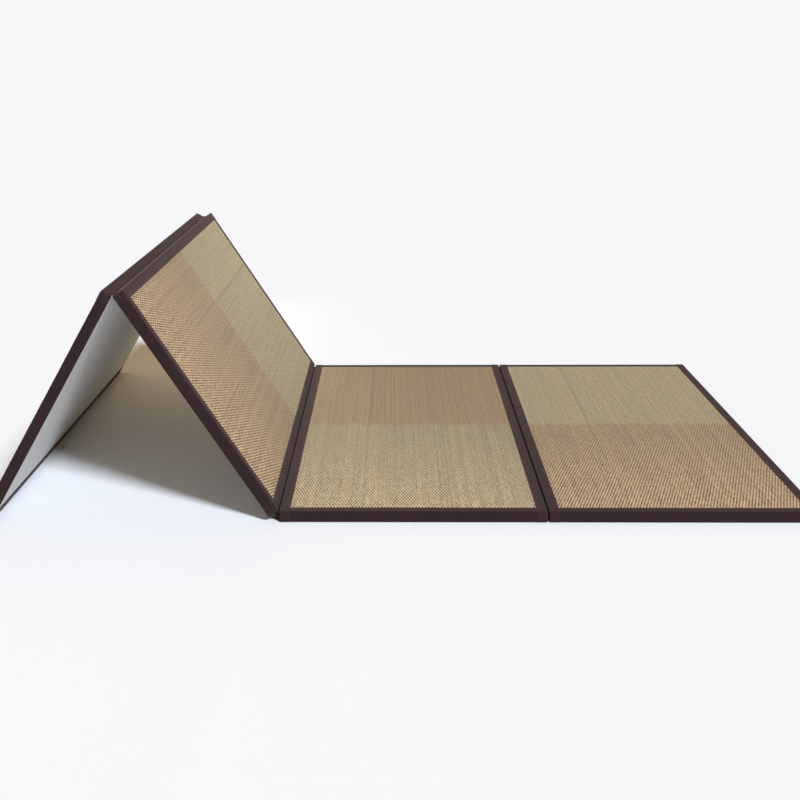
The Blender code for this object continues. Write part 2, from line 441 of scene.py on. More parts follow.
def rounded_skin(low, high, radius):
    """Skin of a box with round top edges and corners, tucked under at its open bottom."""
    bm = box_bmesh(low, high)
    floor_z = low[Z] + MERGE_DISTANCE
    bmesh.ops.bevel(
        bm,
        geom=[e for e in bm.edges if max(v.co.z for v in e.verts) > floor_z],
        offset=radius,
        offset_type="OFFSET",
        segments=5,
        profile=0.5,
        affect="EDGES",
        clamp_overlap=False,
    )
    bottom = [f for f in bm.faces if all(v.co.z < floor_z for v in f.verts)]
    bmesh.ops.delete(bm, geom=bottom, context="FACES")
    for share in FOOT_CUTS:
        cut_across(bm, Z, low[Z] + LOWER_ROUND * share)
    bm.normal_update()
    for vert in bm.verts:
        below = min(1.0 - (vert.co.z - low[Z]) / LOWER_ROUND, 1.0)
        if below > 0.0:
            vert.co -= vert.normal * LOWER_TUCK * (1.0 - math.sqrt(1.0 - below ** 2))
    return bm


def sew_on_strip(mesh, low, high):
    """Join a thin closed strip of the same cloth to the mesh, such as a hem."""
    strip = mesh_from_bmesh("strip", box_bmesh(low, high))
    bm = bmesh.new()
    bm.from_mesh(mesh)
    bm.from_mesh(strip)
    bm.to_mesh(mesh)
    bm.free()
    bpy.data.meshes.remove(strip)


# Woven rush

def crest_shares(panel):
    """Share of the crests that lean right going away from the near edge, and left."""
    strong = sizes().crest_share
    return (strong, 1.0 - strong) if panel in CRESTS_LEAN_RIGHT else (1.0 - strong, strong)


def weave_relief(panel, u, v, seed):
    """Height of the weave, from -1 in a dip to 1 on a crown, at every grid point.

    A pair of stems rises over every other warp thread and its neighbours over the rest, so
    crowns stand on two sets of slanting lines. Each pair is pulled a little to one side
    where it rises, which joins the crowns of one set into crests.
    """
    chance = np.random.default_rng(seed)
    to_right, to_left = crest_shares(panel)
    across, away = u[None, :], v[:, None]
    relief = to_right * np.cos(math.pi * (across - away))
    relief = relief - to_left * np.cos(math.pi * (across + away))
    uneven = 1.0 + UNEVEN_RISE * chance.standard_normal((len(v) // 2 + 1, len(u) // 2 + 1))
    per_point = uneven[np.ix_(np.arange(len(v)) // 2, np.arange(len(u)) // 2)]
    near_depth, reach = WEAVE_DEPTH[panel]
    depth = np.interp(away / v[-1], (0.0, reach), (near_depth, SETTLED_DEPTH))
    return relief * np.clip(per_point, *RISE_LIMITS) * depth


def slow_wander(count, period, seed):
    """Smooth run of values about zero that wanders with the given period in steps."""
    start = Vector((seed * 7.31, 0.0, 0.0))
    return np.array(
        [noise.noise(Vector((i / period, 0.0, 0.0)) + start) for i in range(count)])


def ring_around(rows, columns):
    """Grid indices of the outermost points, once round."""
    grid = np.arange(rows * columns).reshape(rows, columns)
    return np.concatenate([grid[0, :], grid[1:, -1], grid[-1, -2::-1], grid[-2:0:-1, 0]])


def woven_board_mesh(panel, seed):
    """Board wrapped in woven rush, and its cells from the near edge to the far one.

    It is a relief field inside a plain margin, closed below.
    """
    size = sizes()
    left, right = panel_ends(panel)
    edge = BINDING_WIDTH + CLEARANCE
    x_low, x_high = left + edge, right - edge
    y_low, y_high = edge, MAT_WIDTH - edge
    cells_x = round((x_high - x_low) / size.stem_pair)
    cells_y = round((y_high - y_low) / size.float_length)
    columns = 2 * cells_x + 1
    rows = 2 * cells_y + 1
    # Rows sit a quarter in from each end of a cell, so a float keeps a level back
    u = np.arange(columns) / 2.0
    v = np.clip(np.arange(rows) / 2.0 + 0.25, 0.0, float(cells_y))
    v[0] = 0.0
    x_step = (x_high - x_low) / cells_x
    y_step = (y_high - y_low) / cells_y
    relief = weave_relief(panel, u, v, seed)
    inside = np.ones((rows, columns))
    inside[[0, -1], :] = 0.0
    inside[:, [0, -1]] = 0.0

    # Stems and warp threads wander a little from their straight lines
    stem_sway = slow_wander(rows, STEM_SWAY_ROWS, seed)[:, None] * STEM_SWAY
    warp_sway = slow_wander(columns, WARP_SWAY_COLUMNS, seed + 20)[None, :] * WARP_SWAY
    level = THICKNESS - FIELD_DROP - size.crown_height * FIELD_SINK
    x = x_low + u[None, :] * x_step + inside * stem_sway
    y = y_low + v[:, None] * y_step + inside * warp_sway
    z = level + inside * relief * size.crown_height
    verts = np.stack([x + 0 * y, y + 0 * x, z], axis=-1).reshape(-1, 3)
    cell = np.stack([u[None, :] + 0 * y, v[:, None] + 0 * x, 0 * z], axis=-1).reshape(-1, 3)

    index = np.arange(rows * columns).reshape(rows, columns)
    quads = np.stack([index[:-1, :-1], index[:-1, 1:], index[1:, 1:], index[1:, :-1]], axis=-1)
    faces = quads.reshape(-1, 4).tolist()

    # The rings run out from the field's edge: across the margin, round and down the sides
    top = THICKNESS - BOARD_INSET
    corner = OUTER_RADIUS - BOARD_INSET
    reach = edge - BOARD_INSET
    rings = [(0.0, top), (reach - corner, top)]
    rings += [
        (reach - corner + corner * math.sin(turn), top - corner + corner * math.cos(turn))
        for turn in (math.radians(30), math.radians(60), math.radians(90))
    ]
    rings.append((reach, BACKING_ROOM))
    around = ring_around(rows, columns)
    start = verts[around]
    side = np.zeros_like(start)
    for axis, low, high in ((X, x_low, x_high), (Y, y_low, y_high)):
        side[:, axis] -= start[:, axis] <= low + MERGE_DISTANCE
        side[:, axis] += start[:, axis] >= high - MERGE_DISTANCE
    layers = [verts]
    cells = [cell]
    inner = around
    total = len(verts)
    for out, height in rings:
        ring = start + side * out
        ring[:, Z] = height
        layers.append(ring)
        cells.append(cell[around] + side * out / np.array((x_step, y_step, 1.0)))
        outer = np.arange(total, total + len(around))
        total += len(around)
        loop = zip(inner, outer, np.roll(outer, -1), np.roll(inner, -1))
        faces += [[int(i) for i in quad] for quad in loop]
        inner = outer
    faces.append([int(i) for i in inner[::-1]])

    points = np.concatenate(layers)
    mesh = bpy.data.meshes.new(f"{panel}_woven_rush")
    mesh.from_pydata(points.tolist(), [], faces)
    mesh.validate()
    attribute = mesh.attributes.new(WEAVE_ATTRIBUTE, "FLOAT_VECTOR", "POINT")
    attribute.data.foreach_set("vector", np.concatenate(cells).astype(np.float32).ravel())
    smooth_below(mesh, SMOOTH_RUSH)
    return mesh, cells_y


# Binding cloth

def waver_of(along, seed):
    """From 0 to 1: how far the sewn edge has drawn back at a place along a binding."""
    (slow_run, slow_share), (quick_run, quick_share) = SLOW_WAVER, QUICK_WAVER
    slow = noise.noise(Vector((along / slow_run, seed * 3.7, 0.5)))
    quick = noise.noise(Vector((along / quick_run, seed * 5.1, 2.5)))
    return min(max(0.5 + slow_share * slow + quick_share * quick, 0.0), 1.0)


def crown_of(across, along, seed):
    """Slight lift of the cloth between its fold and its sewn edge."""
    place = Vector((along / CROWN_ALONG, across / CROWN_ACROSS, seed * 1.9))
    return CROWN_LIFT * noise.noise(place)


def store_cloth_run(mesh, along_axis, sewn_edge, outward, in_crease=False):
    """Keep, at every point, its run along the binding and its distance from the sewn edge.

    The third value is how far the point lies inside a crease or underneath, from 0 to 1, or -1
    where the cloth laps down over a corner; the binding's material turns it into painted shade
    in creases and underneath, and a painted highlight on the laps.
    """
    attribute = mesh.attributes.new(CLOTH_ATTRIBUTE, "FLOAT_VECTOR", "POINT")
    across_axis = Y if along_axis == X else X
    for vert, run in zip(mesh.vertices, attribute.data):
        on_top = (vert.co[across_axis] - sewn_edge) * outward
        across = on_top + (THICKNESS - vert.co.z)
        tucked = 0.0
        if in_crease and END_CLOTH < vert.co.y < MAT_WIDTH - END_CLOTH:
            tucked = min(max((across - TUCK_START) / (TUCK_END - TUCK_START), 0.0), 1.0)
        if vert.co.z < 0.0:
            tucked = HEM_TUCKED
        elif along_axis == Y and not END_CLOTH < vert.co.y < MAT_WIDTH - END_CLOTH:
            tucked = LAP_TUCKED
        run.vector = (vert.co[along_axis], across, tucked)


def end_binding_mesh(panel, side, place, seed):
    """Binding across the mat, lapped down over the near and far faces at its two corners."""
    size = sizes()
    left, right = panel_ends(panel)
    end, out = (left, -1.0) if side == "left" else (right, 1.0)
    inner = end - out * BINDING_WIDTH
    bm = rounded_skin((left, 0.0, 0.0), (right, MAT_WIDTH, THICKNESS), OUTER_RADIUS)
    cut_across(bm, X, inner, drop=-out)
    for share in END_CUTS:
        cut_across(bm, X, end - out * BINDING_WIDTH * share)
    count = round((MAT_WIDTH - 2 * BINDING_WIDTH) / size.cloth_step)
    for step in range(count + 1):
        cut_across(bm, Y, BINDING_WIDTH + step * (MAT_WIDTH - 2 * BINDING_WIDTH) / count)
    for height in SIDE_CUTS:
        cut_across(bm, Z, height)
    if (panel, side) in BACKING_ENDS:
        reach = BACKING_INSET - CLEARANCE
        cut_across(bm, Z, BACKING_ROOM)
        cut_across(bm, Y, reach)
        cut_across(bm, Y, MAT_WIDTH - reach)
        low = []
        for face in bm.faces:
            middle = face.calc_center_median()
            if middle.z < BACKING_ROOM and reach < middle.y < MAT_WIDTH - reach:
                low.append(face)
        bmesh.ops.delete(bm, geom=low, context="FACES")
    for vert in bm.verts:
        across = abs(vert.co.x - end)
        if vert.co.z < THICKNESS - OUTER_RADIUS or across < OUTER_RADIUS:
            continue
        share = (across - OUTER_RADIUS) / (BINDING_WIDTH - OUTER_RADIUS)
        from_corner = min(vert.co.y, MAT_WIDTH - vert.co.y) - BINDING_WIDTH
        free = min(max(from_corner / size.cloth_step, 0.0), 1.0)
        vert.co.x += out * size.edge_waver * waver_of(vert.co.y, seed) * free * share ** 3
        flat = min(vert.co.y, MAT_WIDTH - vert.co.y) > OUTER_RADIUS
        if flat and share < SEWN_SHARE:
            vert.co.z += crown_of(across, vert.co.y, seed)
    mesh = finished_mesh(f"{panel}_{side}_binding_cloth", bm, END_CLOTH)
    if (panel, side) == STANDING_END:
        near, far = OUTER_RADIUS, MAT_WIDTH - OUTER_RADIUS
        sew_on_strip(mesh, (left, near, -HEM_CLOTH), (left + HEM_WIDTH, far, 0.0))
        stand_flat(mesh, place)
    if (panel, side) in RIDGE_ENDS:
        near, far = BACKING_INSET, MAT_WIDTH - BACKING_INSET
        low_z = BACKING_ROOM + MERGE_DISTANCE
        tip, root = sorted((end + out * LIP_OVERHANG, end - out * LIP_ROOT))
        sew_on_strip(mesh, (tip, near, low_z), (root, far, low_z + HEM_CLOTH))
    store_cloth_run(mesh, Y, inner, out, (panel, side) in CLOSED_ENDS)
    smooth_below(mesh, SMOOTH_CLOTH)
    return mesh


def stand_flat(mesh, place):
    """Press the standing end flat where it meets the floor."""
    to_panel = place_matrix(place).inverted()
    point = to_panel @ Vector((0.0, 0.0, 0.0))
    down = to_panel.to_3x3() @ Vector((0.0, 0.0, -1.0))
    bm = bmesh.new()
    bm.from_mesh(mesh)
    cut_by_plane(bm, point, down, drop_outer=True)
    bmesh.ops.holes_fill(bm, edges=[e for e in bm.edges if e.is_boundary])
    bm.to_mesh(mesh)
    bm.free()


def edge_binding_mesh(panel, side, seed):
    """Binding along the mat's near or far edge, between the two end bindings."""
    size = sizes()
    left, right = panel_ends(panel)
    reach = BINDING_WIDTH + SEAM_GAP
    if side == "near":
        edge, out = EDGE_STEP, -1.0
        inner = BINDING_WIDTH
    else:
        edge, out = MAT_WIDTH - EDGE_STEP, 1.0
        inner = MAT_WIDTH - BINDING_WIDTH
    top = THICKNESS - EDGE_STEP
    radius = OUTER_RADIUS - EDGE_STEP
    bm = rounded_skin((left, EDGE_STEP, 0.0), (right, MAT_WIDTH - EDGE_STEP, top), radius)
    cut_across(bm, X, left + reach, drop=-1.0)
    cut_across(bm, X, right - reach, drop=1.0)
    cut_across(bm, Y, inner, drop=-out)
    for share in EDGE_CUTS:
        cut_across(bm, Y, edge - out * BINDING_WIDTH * share)
    length = right - left - 2 * reach
    count = round(length / size.cloth_step)
    for step in range(1, count):
        cut_across(bm, X, left + reach + step * length / count)
    for height in SIDE_CUTS:
        cut_across(bm, Z, height)
    for vert in bm.verts:
        across = abs(vert.co.y - edge)
        if vert.co.z < top - radius or across < radius:
            continue
        share = (across - radius) / (BINDING_WIDTH - EDGE_STEP - radius)
        vert.co.y += out * size.edge_waver * waver_of(vert.co.x, seed) * share ** 3
        if share < SEWN_SHARE:
            vert.co.z += crown_of(across, vert.co.x, seed)
    mesh = finished_mesh(f"{panel}_{side}_binding_cloth", bm, EDGE_CLOTH)
    store_cloth_run(mesh, X, inner, out)
    smooth_below(mesh, SMOOTH_CLOTH)
    return mesh


# Backing cloth and hinge cloth

def rounded_profile(points, radius, steps=6):
    """Profile through the points, with each inner corner turned on an arc."""
    path = [Vector(points[0])]
    for before, corner, after in zip(points, points[1:], points[2:]):
        before, corner, after = Vector(before), Vector(corner), Vector(after)
        to_before = (before - corner).normalized()
        to_after = (after - corner).normalized()
        half = to_before.angle(to_after) / 2
        tangent = radius / math.tan(half)
        middle = corner + (to_before + to_after).normalized() * radius / math.sin(half)
        start = corner + to_before * tangent - middle
        finish = corner + to_after * tangent - middle
        first = math.atan2(start.y, start.x)
        swing = math.remainder(math.atan2(finish.y, finish.x) - first, 2 * math.pi)
        for step in range(steps + 1):
            turn = first + swing * step / steps
            path.append(middle + Vector((math.cos(turn), math.sin(turn))) * radius)
    path.append(Vector(points[-1]))
    return path


def dense_profile(path, spacing):
    """The same profile with points at most the spacing apart."""
    out = [path[0]]
    for a, b in zip(path, path[1:]):
        parts = max(1, math.ceil((b - a).length / spacing))
        out += [a.lerp(b, part / parts) for part in range(1, parts + 1)]
    return out


def cloth_along_y_mesh(name, profile, thickness, spacing, ripple, seed, tucked=0.0):
    """Cloth along Y that follows an (x, z) profile and lies on its left.

    Left is as seen from the near side. The tucked value is the same all over.
    """
    near = -MAT_WIDTH / 2 + BACKING_INSET
    far = MAT_WIDTH / 2 - BACKING_INSET
    rows = round((far - near) / spacing)
    bm = bmesh.new()
    lines = []
    for row in range(rows + 1):
        y = near + (far - near) * row / rows
        lines.append([bm.verts.new((p.x, y, p.y)) for p in profile])
    for line, following in zip(lines, lines[1:]):
        for a, b, c, d in zip(line, line[1:], following[1:], following):
            bm.faces.new((a, d, c, b))
    bm.normal_update()
    for line in lines[1:-1]:
        for vert in line[1:-1]:
            lift = noise.noise(Vector((vert.co.x / RIPPLE_RUN, vert.co.y / RIPPLE_RUN, seed)))
            vert.co -= vert.normal * ripple * (0.5 + 0.5 * lift)
    mesh = finished_mesh(name, bm, thickness)
    attribute = mesh.attributes.new(CLOTH_ATTRIBUTE, "FLOAT_VECTOR", "POINT")
    for vert, place in zip(mesh.vertices, attribute.data):
        place.vector = (vert.co.y, vert.co.x + vert.co.z, tucked)
    smooth_below(mesh, SMOOTH_CLOTH)
    return mesh


# Materials

class Nodes:
    """Short hand for placing and joining the nodes of one tree."""

    def __init__(self, tree):
        self.tree = tree
        self.tree.nodes.clear()

    def add(self, kind, **values):
        node = self.tree.nodes.new(kind)
        for name, value in values.items():
            setattr(node, name, value)
        return node

    def join(self, source, target):
        self.tree.links.new(source, target)

    def feed(self, socket, value):
        """Join a socket, or set a plain value on it."""
        if isinstance(value, bpy.types.NodeSocket):
            self.join(value, socket)
        else:
            socket.default_value = value

    def maths(self, operation, *values):
        node = self.add("ShaderNodeMath", operation=operation)
        for socket, value in zip(node.inputs, values):
            self.feed(socket, value)
        return node.outputs[0]

    def times(self, a, b):
        return self.maths("MULTIPLY", a, b)

    def minus(self, a, b):
        return self.maths("SUBTRACT", a, b)

    def plus(self, first, *more):
        for part in more:
            first = self.maths("ADD", first, part)
        return first

    def swing(self, value, amount):
        """Value from 0 to 1 turned into one about zero, of the given amount."""
        return self.times(self.minus(value, 0.5), amount)

    def split(self, vector):
        """The three parts of a vector."""
        node = self.add("ShaderNodeSeparateXYZ")
        self.join(vector, node.inputs[0])
        return node.outputs

    def tint(self, colour, by):
        """Colour multiplied by another."""
        return self.blend(1.0, colour, by, mode="MULTIPLY")

    def blend(self, share, a, b, mode="MIX"):
        """Colour a turned into colour b by the share."""
        node = self.add("ShaderNodeMix", data_type="RGBA", blend_type=mode)
        self.feed(node.inputs[0], share)
        self.feed(node.inputs[6], a)
        self.feed(node.inputs[7], b)
        return node.outputs[2]

    def span(self, value, low, high, to_low=0.0, to_high=1.0):
        """Value carried from one span to another, kept inside it."""
        node = self.add("ShaderNodeMapRange", clamp=True)
        for socket, number in zip(node.inputs, (value, low, high, to_low, to_high)):
            self.feed(socket, number)
        return node.outputs[0]

    def vector(self, x, y, z=0.0):
        node = self.add("ShaderNodeCombineXYZ")
        for socket, number in zip(node.inputs, (x, y, z)):
            self.feed(socket, number)
        return node.outputs[0]

    def noise(self, vector, scale=1.0, detail=2.0, roughness=0.5):
        node = self.add("ShaderNodeTexNoise")
        self.join(vector, node.inputs["Vector"])
        node.inputs["Scale"].default_value = scale
        node.inputs["Detail"].default_value = detail
        node.inputs["Roughness"].default_value = roughness
        return node.outputs[0]

    def drawn_out(self, u, v, scale, plane=0.0, detail=2.0, roughness=0.5):
        """Noise drawn out along the stems, from a place in the weave."""
        place = self.vector(self.times(u, scale[0]), self.times(v, scale[1]), plane)
        return self.noise(place, detail=detail, roughness=roughness)

    def chance(self, vector):
        """A different number from 0 to 1 for every different vector."""
        node = self.add("ShaderNodeTexWhiteNoise", noise_dimensions="3D")
        self.join(vector, node.inputs["Vector"])
        return node.outputs["Value"]


def group_tree(name, inputs, outputs):
    """New node group, its given values and its result node.

    Inputs are named numbers with their defaults, or VECTOR, and outputs are numbers.
    """
    tree = bpy.data.node_groups.new(name, "ShaderNodeTree")
    nodes = Nodes(tree)
    for label, default in inputs.items():
        kind = VECTOR if default == VECTOR else NUMBER
        socket = tree.interface.new_socket(label, in_out="INPUT", socket_type=kind)
        if kind == NUMBER:
            socket.default_value = default
    for label in outputs:
        tree.interface.new_socket(label, in_out="OUTPUT", socket_type=NUMBER)
    return nodes, nodes.add("NodeGroupInput").outputs, nodes.add("NodeGroupOutput")


def give_out(nodes, result, **values):
    """Join the group's results to its named outputs, and return the group."""
    for name, value in values.items():
        nodes.join(value, result.inputs[name])
    return nodes.tree


def rush_weave_group():
    """Tone, hue shift and height of woven rush, from a point's place in the weave. The tone
    carries painted shade in the dips and in the groove between the two stems of a cell, and a
    painted highlight on the crowns.
    """
    nodes, given, result = group_tree(
        "Rush weave",
        {
            "Cell": VECTOR,
            "Right crests": 0.5,
            "Left crests": 0.5,
            "Depth": 1.0,
            "Dip shade": 1.2,
            "Cell contrast": 0.4,
            "Stem contrast": 0.3,
            "Streak contrast": 0.2,
        },
        ("Tone", "Crown", "Warmth", "Height"),
    )
    u, v, _ = nodes.split(given["Cell"])
    slant_right = nodes.times(nodes.minus(u, v), math.pi)
    slant_left = nodes.times(nodes.plus(u, v), math.pi)
    lift = nodes.minus(
        nodes.times(nodes.maths("COSINE", slant_right), given["Right crests"]),
        nodes.times(nodes.maths("COSINE", slant_left), given["Left crests"]))
    crown = nodes.span(lift, -0.8, 0.8, -0.5, 0.5)

    # Two stems lie side by side in a cell, and each keeps its own tone along the mat
    stem = nodes.maths("FLOOR", nodes.times(u, 2.0))
    stem_run = nodes.maths("FLOOR", nodes.maths("DIVIDE", v, STEM_CELLS))
    stem_chance = nodes.chance(nodes.vector(stem, stem_run))
    cell = nodes.vector(nodes.maths("FLOOR", u), nodes.maths("FLOOR", v), 3.0)
    cell_chance = nodes.chance(cell)
    streak = nodes.drawn_out(u, v, STREAK_SCALE, detail=3.0, roughness=0.6)
    bundle = nodes.drawn_out(u, v, BUNDLE_SCALE, plane=5.0, roughness=0.6)
    fibre = nodes.drawn_out(u, v, FIBRE_SCALE)
    stem_back = nodes.maths("ABSOLUTE", nodes.maths("SINE", nodes.times(u, 2 * math.pi)))

    # Every part is about zero, so the mean tone stays near one
    # Painted shade in the dips of the weave and a painted highlight on its crowns
    dip_shade_and_crown_light = nodes.times(crown, given["Dip shade"])
    cell_part = nodes.swing(cell_chance, given["Cell contrast"])
    woven = nodes.times(nodes.plus(dip_shade_and_crown_light, cell_part), given["Depth"])
    stem_part = nodes.swing(stem_chance, given["Stem contrast"])
    # Pale streaks stand out more than dull ones
    broad = nodes.plus(nodes.swing(streak, 0.5), nodes.minus(bundle, 0.5))
    broad = nodes.maths("MAXIMUM", broad, -0.1)
    streak_part = nodes.times(broad, given["Streak contrast"])
    fibre_part = nodes.swing(fibre, 0.16)
    tone = nodes.plus(1.0, woven, nodes.plus(stem_part, streak_part), fibre_part)
    # Painted shade in the groove between the two stems of a cell
    groove = nodes.span(stem_back, 0.0, 0.5, 0.82, 1.0)
    tone = nodes.maths("MAXIMUM", nodes.times(tone, groove), 0.05)
    warmth = nodes.plus(nodes.times(stem_chance, 0.5), nodes.times(streak, 0.5))
    height = nodes.plus(nodes.times(stem_back, 0.8), nodes.times(fibre, 0.2))
    crown = nodes.plus(crown, 0.5)
    return give_out(nodes, result, Tone=tone, Crown=crown, Warmth=warmth, Height=height)


def plain_cloth_group():
    """Tone and height of plain-woven cloth with a row of stitches along its sewn edge. The tone
    also carries painted highlights and painted shade.
    """
    nodes, given, result = group_tree(
        "Plain cloth",
        {
            "Run": VECTOR,
            "Thread pitch": 0.0007,
            "Stitch length": 0.0045,
            "Wear": 0.3,
            # Strength of the painted highlight beside the sewn edge
            "Fade": 1.0,
        },
        ("Tone", "Height"),
    )
    along, across, tucked = nodes.split(given["Run"])
    turn = nodes.maths("DIVIDE", math.pi, given["Thread pitch"])
    warp = nodes.maths("SINE", nodes.times(along, turn))
    weft = nodes.maths("SINE", nodes.times(across, turn))
    weave = nodes.times(warp, weft)

    # Stitches: a short raised run on a line 2.5 mm in from the sewn edge
    from_line = nodes.maths("ABSOLUTE", nodes.minus(across, 0.0025))
    on_line = nodes.span(from_line, 0.0006, 0.0002)
    phase = nodes.maths("FRACT", nodes.maths("DIVIDE", along, given["Stitch length"]))
    in_stitch = nodes.span(nodes.maths("ABSOLUTE", nodes.minus(phase, 0.5)), 0.42, 0.36)
    stitch = nodes.times(on_line, in_stitch)
    hollow = nodes.span(from_line, 0.0020, 0.0)

    worn = nodes.noise(given["Run"], scale=55.0, detail=4.0, roughness=0.6)
    lint = nodes.noise(given["Run"], scale=900.0)
    tone = nodes.plus(
        1.0, nodes.swing(worn, given["Wear"]), nodes.swing(lint, 0.5),
        nodes.times(weave, 0.12), nodes.times(stitch, 0.6))
    # Painted highlight on top beside the sewn edge, and painted shade low down on the side where
    # it meets the floor
    painted_edge_highlight = nodes.span(across, 0.002, 0.007, given["Fade"], 1.0)
    painted_contact_shade = nodes.span(across, 0.038, 0.042, 1.0, 0.8)
    # Painted shade inside a closed crease and underneath, and a painted highlight on the laps at
    # the corners
    painted_crease_shade = nodes.span(tucked, 0.0, 1.0, 1.0, 0.25)
    painted_lap_highlight = nodes.span(tucked, LAP_TUCKED, 0.0, 1.25, 1.0)
    tone = nodes.times(tone, nodes.times(painted_edge_highlight, painted_contact_shade))
    tone = nodes.times(tone, nodes.times(painted_crease_shade, painted_lap_highlight))
    height = nodes.plus(nodes.times(weave, 0.25), nodes.times(stitch, 0.8))
    height = nodes.minus(height, nodes.times(hollow, 0.9))
    return give_out(nodes, result, Tone=tone, Height=height)


def felt_group():
    """Tone and height of felted cloth, from a point in metres."""
    nodes, given, result = group_tree(
        "Felt", {"Point": VECTOR, "Mottle": 0.1}, ("Tone", "Height"))
    broad = nodes.noise(given["Point"], scale=14.0, detail=3.0)
    fine = nodes.noise(given["Point"], scale=420.0, detail=3.0, roughness=0.6)
    tone = nodes.plus(1.0, nodes.swing(broad, given["Mottle"]), nodes.times(fine, 0.04))
    return give_out(nodes, result, Tone=tone, Height=fine)


def new_material(name):
    """Material with a Principled shader joined to its output, and its helper."""
    material = bpy.data.materials.new(name)
    material.use_nodes = True
    nodes = Nodes(material.node_tree)
    shader = nodes.add("ShaderNodeBsdfPrincipled")
    output = nodes.add("ShaderNodeOutputMaterial")
    nodes.join(shader.outputs[0], output.inputs["Surface"])
    return material, nodes, shader


def place_group(nodes, name, build, **values):
    """Node of a group, built on its first use, with its inputs joined or set by name.

    In a name, _ stands for a space.
    """
    tree = bpy.data.node_groups.get(name) or build()
    node = nodes.add("ShaderNodeGroup", node_tree=tree)
    for socket, value in values.items():
        nodes.feed(node.inputs[socket.replace("_", " ")], value)
    return node


def finish_surface(nodes, shader, colour, roughness, gloss):
    nodes.feed(shader.inputs["Base Color"], colour)
    shader.inputs["Roughness"].default_value = roughness
    shader.inputs["Specular IOR Level"].default_value = gloss


def add_bump(nodes, shader, height, distance, strength):
    bump = nodes.add("ShaderNodeBump")
    bump.inputs["Distance"].default_value = distance
    bump.inputs["Strength"].default_value = strength
    nodes.join(height, bump.inputs["Height"])
    nodes.join(bump.outputs[0], shader.inputs["Normal"])


def toned(nodes, colour, tone):
    """Colour made lighter or darker by a tone."""
    grey = nodes.add("ShaderNodeCombineColor")
    for socket in grey.inputs:
        nodes.join(tone, socket)
    return nodes.tint(colour, grey.outputs[0])


def rush_material(panel, near, far, half_way):
    """Woven rush whose near half has one tone and whose far half has the other."""
    material, nodes, shader = new_material(f"{panel}_rush")
    to_right, to_left = crest_shares(panel)
    near_depth, reach = WEAVE_DEPTH[panel]
    cell = nodes.add("ShaderNodeAttribute", attribute_name=WEAVE_ATTRIBUTE).outputs["Vector"]
    u, v, _ = nodes.split(cell)
    far_edge = 2 * half_way
    weave = place_group(
        nodes, "Rush weave", rush_weave_group,
        Cell=cell, Right_crests=to_right, Left_crests=to_left,
        Depth=nodes.span(v, 0.0, far_edge * reach, near_depth, SETTLED_DEPTH),
        Dip_shade=1.2, Cell_contrast=0.55, Stem_contrast=0.26, Streak_contrast=0.30)
    # The two tones meet on a slightly uneven line half way across the mat
    meeting = nodes.plus(v, nodes.swing(nodes.drawn_out(u, v, MEETING_SCALE), 3.0))
    is_far = nodes.span(meeting, half_way - 1.5, half_way + 1.5)
    colour = nodes.blend(is_far, (*near, 1.0), (*far, 1.0))
    # Some stems dried browner than the rest
    browner = nodes.tint(colour, (1.02, 0.97, 0.91, 1.0))
    colour = nodes.blend(nodes.span(weave.outputs["Warmth"], 0.35, 0.75), colour, browner)
    # Painted shade and highlight: the dips are tinted browner and darker than the crowns, which
    # are tinted paler and cooler
    dip, crown_highlight_tint = (1.10, 0.92, 0.65, 1.0), (1.04, 1.13, 1.32, 1.0)
    colour = nodes.tint(colour, nodes.blend(weave.outputs["Crown"], dip, crown_highlight_tint))
    # Painted light: the rush is tinted paler and warmer towards the near edge, as if lit more
    # strongly there
    pale, plain = (1.20, 1.12, 1.06, 1.0), (0.95, 0.95, 0.95, 1.0)
    colour = nodes.tint(colour, nodes.blend(nodes.span(v, 0.0, 0.8 * half_way), pale, plain))
    # Painted light and shade, from the near edge to the far one
    painted_panel_light = nodes.span(v, 0.0, far_edge, *PAINTED_RUSH_LIGHT[panel])
    tone = nodes.times(weave.outputs["Tone"], painted_panel_light)
    finish_surface(nodes, shader, toned(nodes, colour, tone), roughness=0.65, gloss=0.12)
    add_bump(nodes, shader, weave.outputs["Height"], distance=0.0004, strength=0.8)
    return material


def binding_material():
    """Dark brown plain-woven binding cloth."""
    material, nodes, shader = new_material("binding_cloth_brown")
    run = nodes.add("ShaderNodeAttribute", attribute_name=CLOTH_ATTRIBUTE)
    # The cloth's tone carries a painted highlight beside the sewn edge, painted shade in
    # creases, underneath and near the floor, and a painted highlight on the corner laps
    cloth = place_group(
        nodes, "Plain cloth", plain_cloth_group,
        Run=run.outputs["Vector"], Thread_pitch=sizes().thread_pitch,
        Stitch_length=sizes().stitch_length, Wear=0.5, Fade=1.3)
    colour = toned(nodes, (*colours().binding, 1.0), cloth.outputs["Tone"])
    finish_surface(nodes, shader, colour, roughness=0.85, gloss=0.12)
    shader.inputs["Sheen Weight"].default_value = 0.10
    shader.inputs["Sheen Tint"].default_value = (1.0, 0.85, 0.85, 1.0)
    add_bump(nodes, shader, cloth.outputs["Height"], distance=0.0003, strength=0.7)
    return material


def backing_material():
    """Off-white felted backing cloth."""
    material, nodes, shader = new_material("backing_cloth_white")
    run = nodes.add("ShaderNodeAttribute", attribute_name=CLOTH_ATTRIBUTE)
    felt = place_group(nodes, "Felt", felt_group, Point=run.outputs["Vector"], Mottle=0.10)
    colour = toned(nodes, (*colours().backing, 1.0), felt.outputs["Tone"])
    finish_surface(nodes, shader, colour, roughness=0.9, gloss=0.2)
    add_bump(nodes, shader, felt.outputs["Height"], distance=0.0003, strength=0.5)
    return material


def shared_material(name, build):
    """The material of that name, built on its first use."""
    return bpy.data.materials.get(name) or build()


# Operators

